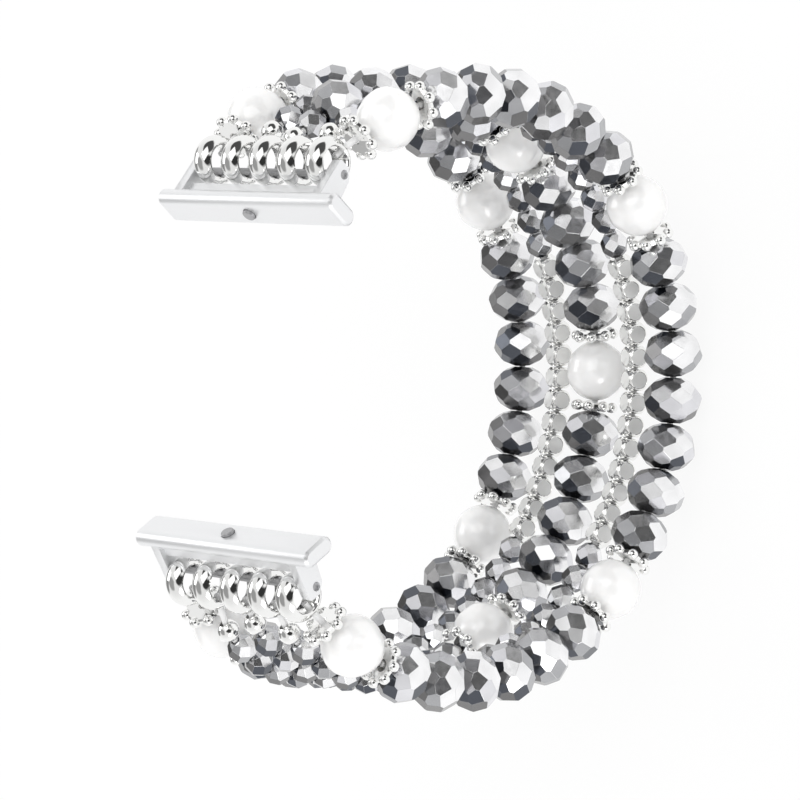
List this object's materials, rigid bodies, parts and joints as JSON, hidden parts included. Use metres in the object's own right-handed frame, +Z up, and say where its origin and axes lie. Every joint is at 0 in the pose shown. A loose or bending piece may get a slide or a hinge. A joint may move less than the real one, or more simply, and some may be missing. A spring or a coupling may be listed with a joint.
{
  "type": "bead watch band",
  "caption": "Stretch watch band of faceted crystals, pearls and silver beads strung in parallel strands between two slide-in metal adapters.",
  "frame": {"origin": "middle of the band's box, at the foot of the bead that it stands on", "axes": "+X across the band towards the crown side, +Y towards the watch's twelve o'clock end, +Z up, out of the watch's face"},
  "size_m": [0.03, 0.069, 0.0606],
  "materials": {
    "crystal": "cut glass with a half mirror coat",
    "pearl": "pearl lustre",
    "silver_bead": "polished plating",
    "chrome": "polished",
    "cord": "clear elastic",
    "satin_adapter": "satin blasted"
  },
  "bodies": {
    "back_beads": {"cords_back": "cord", "crystals_back": "crystal", "daisy_spacers_back": "silver_bead", "silver_cubes_back": "silver_bead"},
    "adapter_lower": {"adapter_lower": "satin_adapter", "button_spring_lower": "chrome", "cross_rod_lower": "chrome"},
    "adapter_upper": {"adapter_upper": "satin_adapter", "button_spring_upper": "chrome", "cross_rod_upper": "chrome"},
    "lower_1_beads": {"cords_lower_1": "cord", "crystals_lower_1": "crystal", "daisy_spacers_lower_1": "silver_bead", "silver_cubes_lower_1": "silver_bead", "small_crystals_lower_1": "crystal"},
    "lower_2_beads": {"cords_lower_2": "cord", "crystals_lower_2": "crystal", "daisy_spacers_lower_2": "silver_bead", "small_crystals_lower_2": "crystal"},
    "lower_3_beads": {"cords_lower_3": "cord", "crystals_lower_3": "crystal", "small_crystals_lower_3": "crystal"},
    "lower_4_beads": {"cords_lower_4": "cord", "daisy_spacers_lower_4": "silver_bead", "rings_lower": "chrome", "round_beads_lower_4": "silver_bead", "small_crystals_lower_4": "crystal"},
    "upper_1_beads": {"cords_upper_1": "cord", "crystals_upper_1": "crystal", "daisy_spacers_upper_1": "silver_bead", "silver_cubes_upper_1": "silver_bead", "small_crystals_upper_1": "crystal"},
    "upper_2_beads": {"cords_upper_2": "cord", "crystals_upper_2": "crystal", "daisy_spacers_upper_2": "silver_bead", "small_crystals_upper_2": "crystal"},
    "upper_3_beads": {"cords_upper_3": "cord", "crystals_upper_3": "crystal", "small_crystals_upper_3": "crystal"},
    "upper_4_beads": {"cords_upper_4": "cord", "crystals_upper_4": "crystal", "daisy_spacers_upper_4": "silver_bead", "rings_upper": "chrome", "round_beads_upper_4": "silver_bead", "small_crystals_upper_4": "crystal"},
    "lock_button_lower": {"lock_button_lower": "chrome"},
    "lock_button_upper": {"lock_button_upper": "chrome"},
    "pearl_far_edge_lower_end": {"pearl_far_edge_lower_end": "pearl"},
    "pearl_far_edge_lower_side": {"pearl_far_edge_lower_side": "pearl"},
    "pearl_far_edge_upper_end": {"pearl_far_edge_upper_end": "pearl"},
    "pearl_far_edge_upper_side": {"pearl_far_edge_upper_side": "pearl"},
    "pearl_middle_back": {"pearl_middle_back": "pearl"},
    "pearl_middle_lower_side": {"pearl_middle_lower_side": "pearl"},
    "pearl_middle_upper_side": {"pearl_middle_upper_side": "pearl"},
    "pearl_near_edge_lower_end": {"pearl_near_edge_lower_end": "pearl"},
    "pearl_near_edge_lower_side": {"pearl_near_edge_lower_side": "pearl"},
    "pearl_near_edge_upper_end": {"pearl_near_edge_upper_end": "pearl"},
    "pearl_near_edge_upper_side": {"pearl_near_edge_upper_side": "pearl"}
  },
  "joints": [
    {"name": "upper_bend_1", "type": "hinge", "parent": "back_beads", "child": "upper_1_beads", "pos_m": [0, 0.01297, 0.00614], "axis": [-1, 0, 0], "range_deg": [-1, 13]},
    {"name": "upper_bend_2", "type": "hinge", "parent": "upper_1_beads", "child": "upper_2_beads", "pos_m": [0, 0.02456, 0.0152], "axis": [-1, 0, 0], "range_deg": [-1, 13]},
    {"name": "upper_bend_3", "type": "hinge", "parent": "upper_2_beads", "child": "upper_3_beads", "pos_m": [0, 0.03095, 0.02973], "axis": [-1, 0, 0], "range_deg": [-1, 13]},
    {"name": "upper_bend_4", "type": "hinge", "parent": "upper_3_beads", "child": "upper_4_beads", "pos_m": [0, 0.0294, 0.04553], "axis": [-1, 0, 0], "range_deg": [-1, 13]},
    {"name": "upper_adapter_pivot", "type": "hinge", "parent": "upper_4_beads", "child": "adapter_upper", "pos_m": [0, 0.02109, 0.05669], "axis": [-1, 0, 0], "range_deg": [-35, 20]},
    {"name": "upper_lock_press", "type": "slide", "parent": "adapter_upper", "child": "lock_button_upper", "axis": [0, 0.8192, -0.5736], "range_m": [0, 0.00035], "stiffness_N_per_m": 600, "springref_m": -0.0005},
    {"name": "lower_bend_1", "type": "hinge", "parent": "back_beads", "child": "lower_1_beads", "pos_m": [0, -0.01297, 0.00614], "axis": [1, 0, 0], "range_deg": [-1, 13]},
    {"name": "lower_bend_2", "type": "hinge", "parent": "lower_1_beads", "child": "lower_2_beads", "pos_m": [0, -0.02456, 0.0152], "axis": [1, 0, 0], "range_deg": [-1, 13]},
    {"name": "lower_bend_3", "type": "hinge", "parent": "lower_2_beads", "child": "lower_3_beads", "pos_m": [0, -0.03095, 0.02973], "axis": [1, 0, 0], "range_deg": [-1, 10]},
    {"name": "lower_bend_4", "type": "hinge", "parent": "lower_3_beads", "child": "lower_4_beads", "pos_m": [0, -0.0294, 0.04553], "axis": [1, 0, 0], "range_deg": [-1, 4.5]},
    {"name": "lower_adapter_pivot", "type": "hinge", "parent": "lower_4_beads", "child": "adapter_lower", "pos_m": [0, -0.02109, 0.05669], "axis": [1, 0, 0], "range_deg": [-35, 20]},
    {"name": "lower_lock_press", "type": "slide", "parent": "adapter_lower", "child": "lock_button_lower", "axis": [0, -0.8192, -0.5736], "range_m": [0, 0.00035], "stiffness_N_per_m": 600, "springref_m": -0.0005},
    {"name": "spin_far_edge_lower_end", "type": "hinge", "parent": "lower_4_beads", "child": "pearl_far_edge_lower_end", "pos_m": [-0.00992, -0.02742, 0.04985], "axis": [-0.1632, -0.4779, -0.8631], "continuous": true},
    {"name": "spin_far_edge_lower_side", "type": "hinge", "parent": "lower_1_beads", "child": "pearl_far_edge_lower_side", "pos_m": [-0.0116, -0.01713, 0.00842], "axis": [0, 0.8374, -0.5466], "continuous": true},
    {"name": "spin_far_edge_upper_side", "type": "hinge", "parent": "upper_1_beads", "child": "pearl_far_edge_upper_side", "pos_m": [-0.0116, 0.02134, 0.01172], "axis": [0, 0.7323, 0.6809], "continuous": true},
    {"name": "spin_far_edge_upper_end", "type": "hinge", "parent": "upper_4_beads", "child": "pearl_far_edge_upper_end", "pos_m": [-0.00992, 0.02742, 0.04985], "axis": [0.1632, -0.4779, 0.8631], "continuous": true},
    {"name": "spin_middle_lower_side", "type": "hinge", "parent": "lower_2_beads", "child": "pearl_middle_lower_side", "pos_m": [0, -0.0274, 0.01945], "axis": [0, 0.4854, -0.8743], "continuous": true},
    {"name": "spin_middle_back", "type": "hinge", "parent": "back_beads", "child": "pearl_middle_back", "pos_m": [0, 0.00278, 0.00345], "axis": [0, 0.9961, 0.0885], "continuous": true},
    {"name": "spin_middle_upper_side", "type": "hinge", "parent": "upper_2_beads", "child": "pearl_middle_upper_side", "pos_m": [0, 0.02751, 0.01965], "axis": [0, 0.4792, 0.8777], "continuous": true},
    {"name": "spin_near_edge_lower_end", "type": "hinge", "parent": "lower_4_beads", "child": "pearl_near_edge_lower_end", "pos_m": [0.00992, -0.02742, 0.04985], "axis": [0.1632, -0.4779, -0.8631], "continuous": true},
    {"name": "spin_near_edge_lower_side", "type": "hinge", "parent": "lower_1_beads", "child": "pearl_near_edge_lower_side", "pos_m": [0.0116, -0.02134, 0.01172], "axis": [0, 0.7323, -0.6809], "continuous": true},
    {"name": "spin_near_edge_upper_side", "type": "hinge", "parent": "upper_1_beads", "child": "pearl_near_edge_upper_side", "pos_m": [0.0116, 0.02134, 0.01172], "axis": [0, 0.7323, 0.6809], "continuous": true},
    {"name": "spin_near_edge_upper_end", "type": "hinge", "parent": "upper_4_beads", "child": "pearl_near_edge_upper_end", "pos_m": [0.00992, 0.02742, 0.04985], "axis": [-0.1632, -0.4779, 0.8631], "continuous": true}
  ]
}
